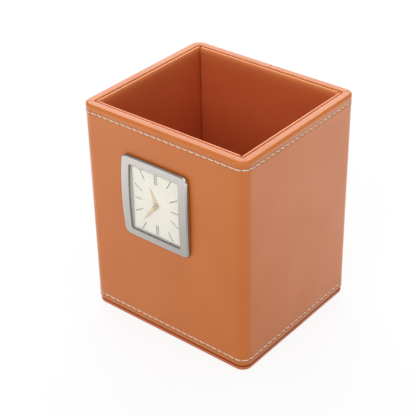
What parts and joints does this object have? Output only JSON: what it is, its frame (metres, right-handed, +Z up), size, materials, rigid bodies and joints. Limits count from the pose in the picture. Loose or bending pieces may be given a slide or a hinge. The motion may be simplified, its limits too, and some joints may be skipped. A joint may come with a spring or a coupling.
{
  "type": "pen holder with clock",
  "caption": "Rectangular open-topped pen holder of leather-wrapped boards, stitched at rim and base, with a plug-in metal-framed analogue clock whose hands turn.",
  "frame": {"origin": "middle of the base's underside", "axes": "+Z up, -Y out of the front with the clock, +X to the right as seen from the front"},
  "size_m": [0.0846, 0.0778, 0.1],
  "materials": {
    "wrap_leather": "satin tan leather",
    "lining_leather": "smooth brown leather",
    "thread": "cream sewing thread",
    "board": "raw fibre board",
    "card": "grey card",
    "bezel_metal": "satin with polished edges",
    "glass": "clear glass, gently curved",
    "gasket": "black seal",
    "dial_paint": "matt cream white",
    "ring_paint": "satin grey",
    "marker_metal": "polished",
    "hand_metal": "pale gold, polished",
    "case_plastic": "black moulded plastic",
    "grip_rubber": "black rubber",
    "movement_plastic": "pale moulded plastic",
    "movement_steel": "bright steel",
    "movement_brass": "brass",
    "wheel_plastic": "natural white plastic",
    "magnet": "dark sintered magnet",
    "copper_wire": "enamelled copper wire",
    "circuit": "green circuit board",
    "crystal_can": "bright can",
    "cell_steel": "bright button cell"
  },
  "bodies": {
    "holder": {"outer_wrap": "wrap_leather", "top_stitching": "thread", "bottom_stitching": "thread", "base_pad": "wrap_leather", "base_filler_card": "card", "core_front": "board", "core_back": "board", "core_left": "board", "core_right": "board", "core_floor": "board", "liner_front": "lining_leather", "liner_back": "lining_leather", "liner_left": "lining_leather", "liner_right": "lining_leather", "liner_card_front": "card", "liner_card_back": "card", "liner_card_left": "card", "liner_card_right": "card", "floor_lining": "lining_leather"},
    "clock": {"clock_bezel": "bezel_metal", "clock_lens": "glass", "lens_gasket": "gasket", "dial_ring": "ring_paint", "dial": "dial_paint", "hour_markers": "marker_metal", "case_body": "case_plastic", "grip_ring": "grip_rubber", "back_cover": "case_plastic", "main_plate": "movement_plastic", "train_bridge": "movement_steel", "bridge_screws": "movement_steel", "stator": "movement_steel", "coil_core": "movement_steel", "coil": "copper_wire", "circuit_board": "circuit", "quartz_crystal": "crystal_can", "battery": "cell_steel", "battery_contact": "movement_brass"},
    "minute_train": {"minute_hand": "hand_metal", "cannon_pinion": "movement_brass", "centre_wheel": "movement_brass"},
    "hour_train": {"hour_hand": "hand_metal", "hour_wheel": "wheel_plastic"},
    "minute_wheel": {"minute_wheel": "wheel_plastic"},
    "third_wheel": {"third_wheel": "wheel_plastic"},
    "intermediate_wheel": {"intermediate_wheel": "wheel_plastic"},
    "rotor": {"rotor": "magnet"},
    "setting_control": {"setting_arbor": "movement_brass", "setting_knob": "case_plastic"}
  },
  "joints": [
    {"name": "clock_pull_out", "type": "slide", "parent": "holder", "child": "clock", "axis": [0, -1, 0], "range_m": [0, 0.015]},
    {"name": "minute_hand_turn", "type": "hinge", "parent": "clock", "child": "minute_train", "pos_m": [-0.0024, -0.0375, 0.0655], "axis": [0, -1, 0], "continuous": true},
    {"name": "hour_hand_turn", "type": "hinge", "parent": "clock", "child": "hour_train", "pos_m": [-0.0024, -0.0375, 0.0655], "axis": [0, -1, 0], "continuous": true},
    {"name": "minute_wheel_turn", "type": "hinge", "parent": "clock", "child": "minute_wheel", "pos_m": [-0.0024, -0.0375, 0.0695], "axis": [0, -1, 0], "continuous": true},
    {"name": "third_wheel_turn", "type": "hinge", "parent": "clock", "child": "third_wheel", "pos_m": [-0.00616, -0.0375, 0.06413], "axis": [0, -1, 0], "continuous": true},
    {"name": "intermediate_wheel_turn", "type": "hinge", "parent": "clock", "child": "intermediate_wheel", "pos_m": [-0.00731, -0.0375, 0.06097], "axis": [0, -1, 0], "continuous": true},
    {"name": "rotor_turn", "type": "hinge", "parent": "clock", "child": "rotor", "pos_m": [-0.00563, -0.0375, 0.05806], "axis": [0, -1, 0], "continuous": true},
    {"name": "setting_knob_turn", "type": "hinge", "parent": "clock", "child": "setting_control", "pos_m": [-0.0024, -0.0375, 0.0735], "axis": [0, -1, 0], "continuous": true}
  ],
  "couplings": [
    {"joint": "hour_hand_turn", "follows": "minute_hand_turn", "ratio": 0.083333},
    {"joint": "minute_wheel_turn", "follows": "minute_hand_turn", "ratio": -0.33333},
    {"joint": "third_wheel_turn", "follows": "minute_hand_turn", "ratio": -3},
    {"joint": "intermediate_wheel_turn", "follows": "minute_hand_turn", "ratio": 15},
    {"joint": "rotor_turn", "follows": "minute_hand_turn", "ratio": -90},
    {"joint": "setting_knob_turn", "follows": "minute_hand_turn", "ratio": 1}
  ]
}
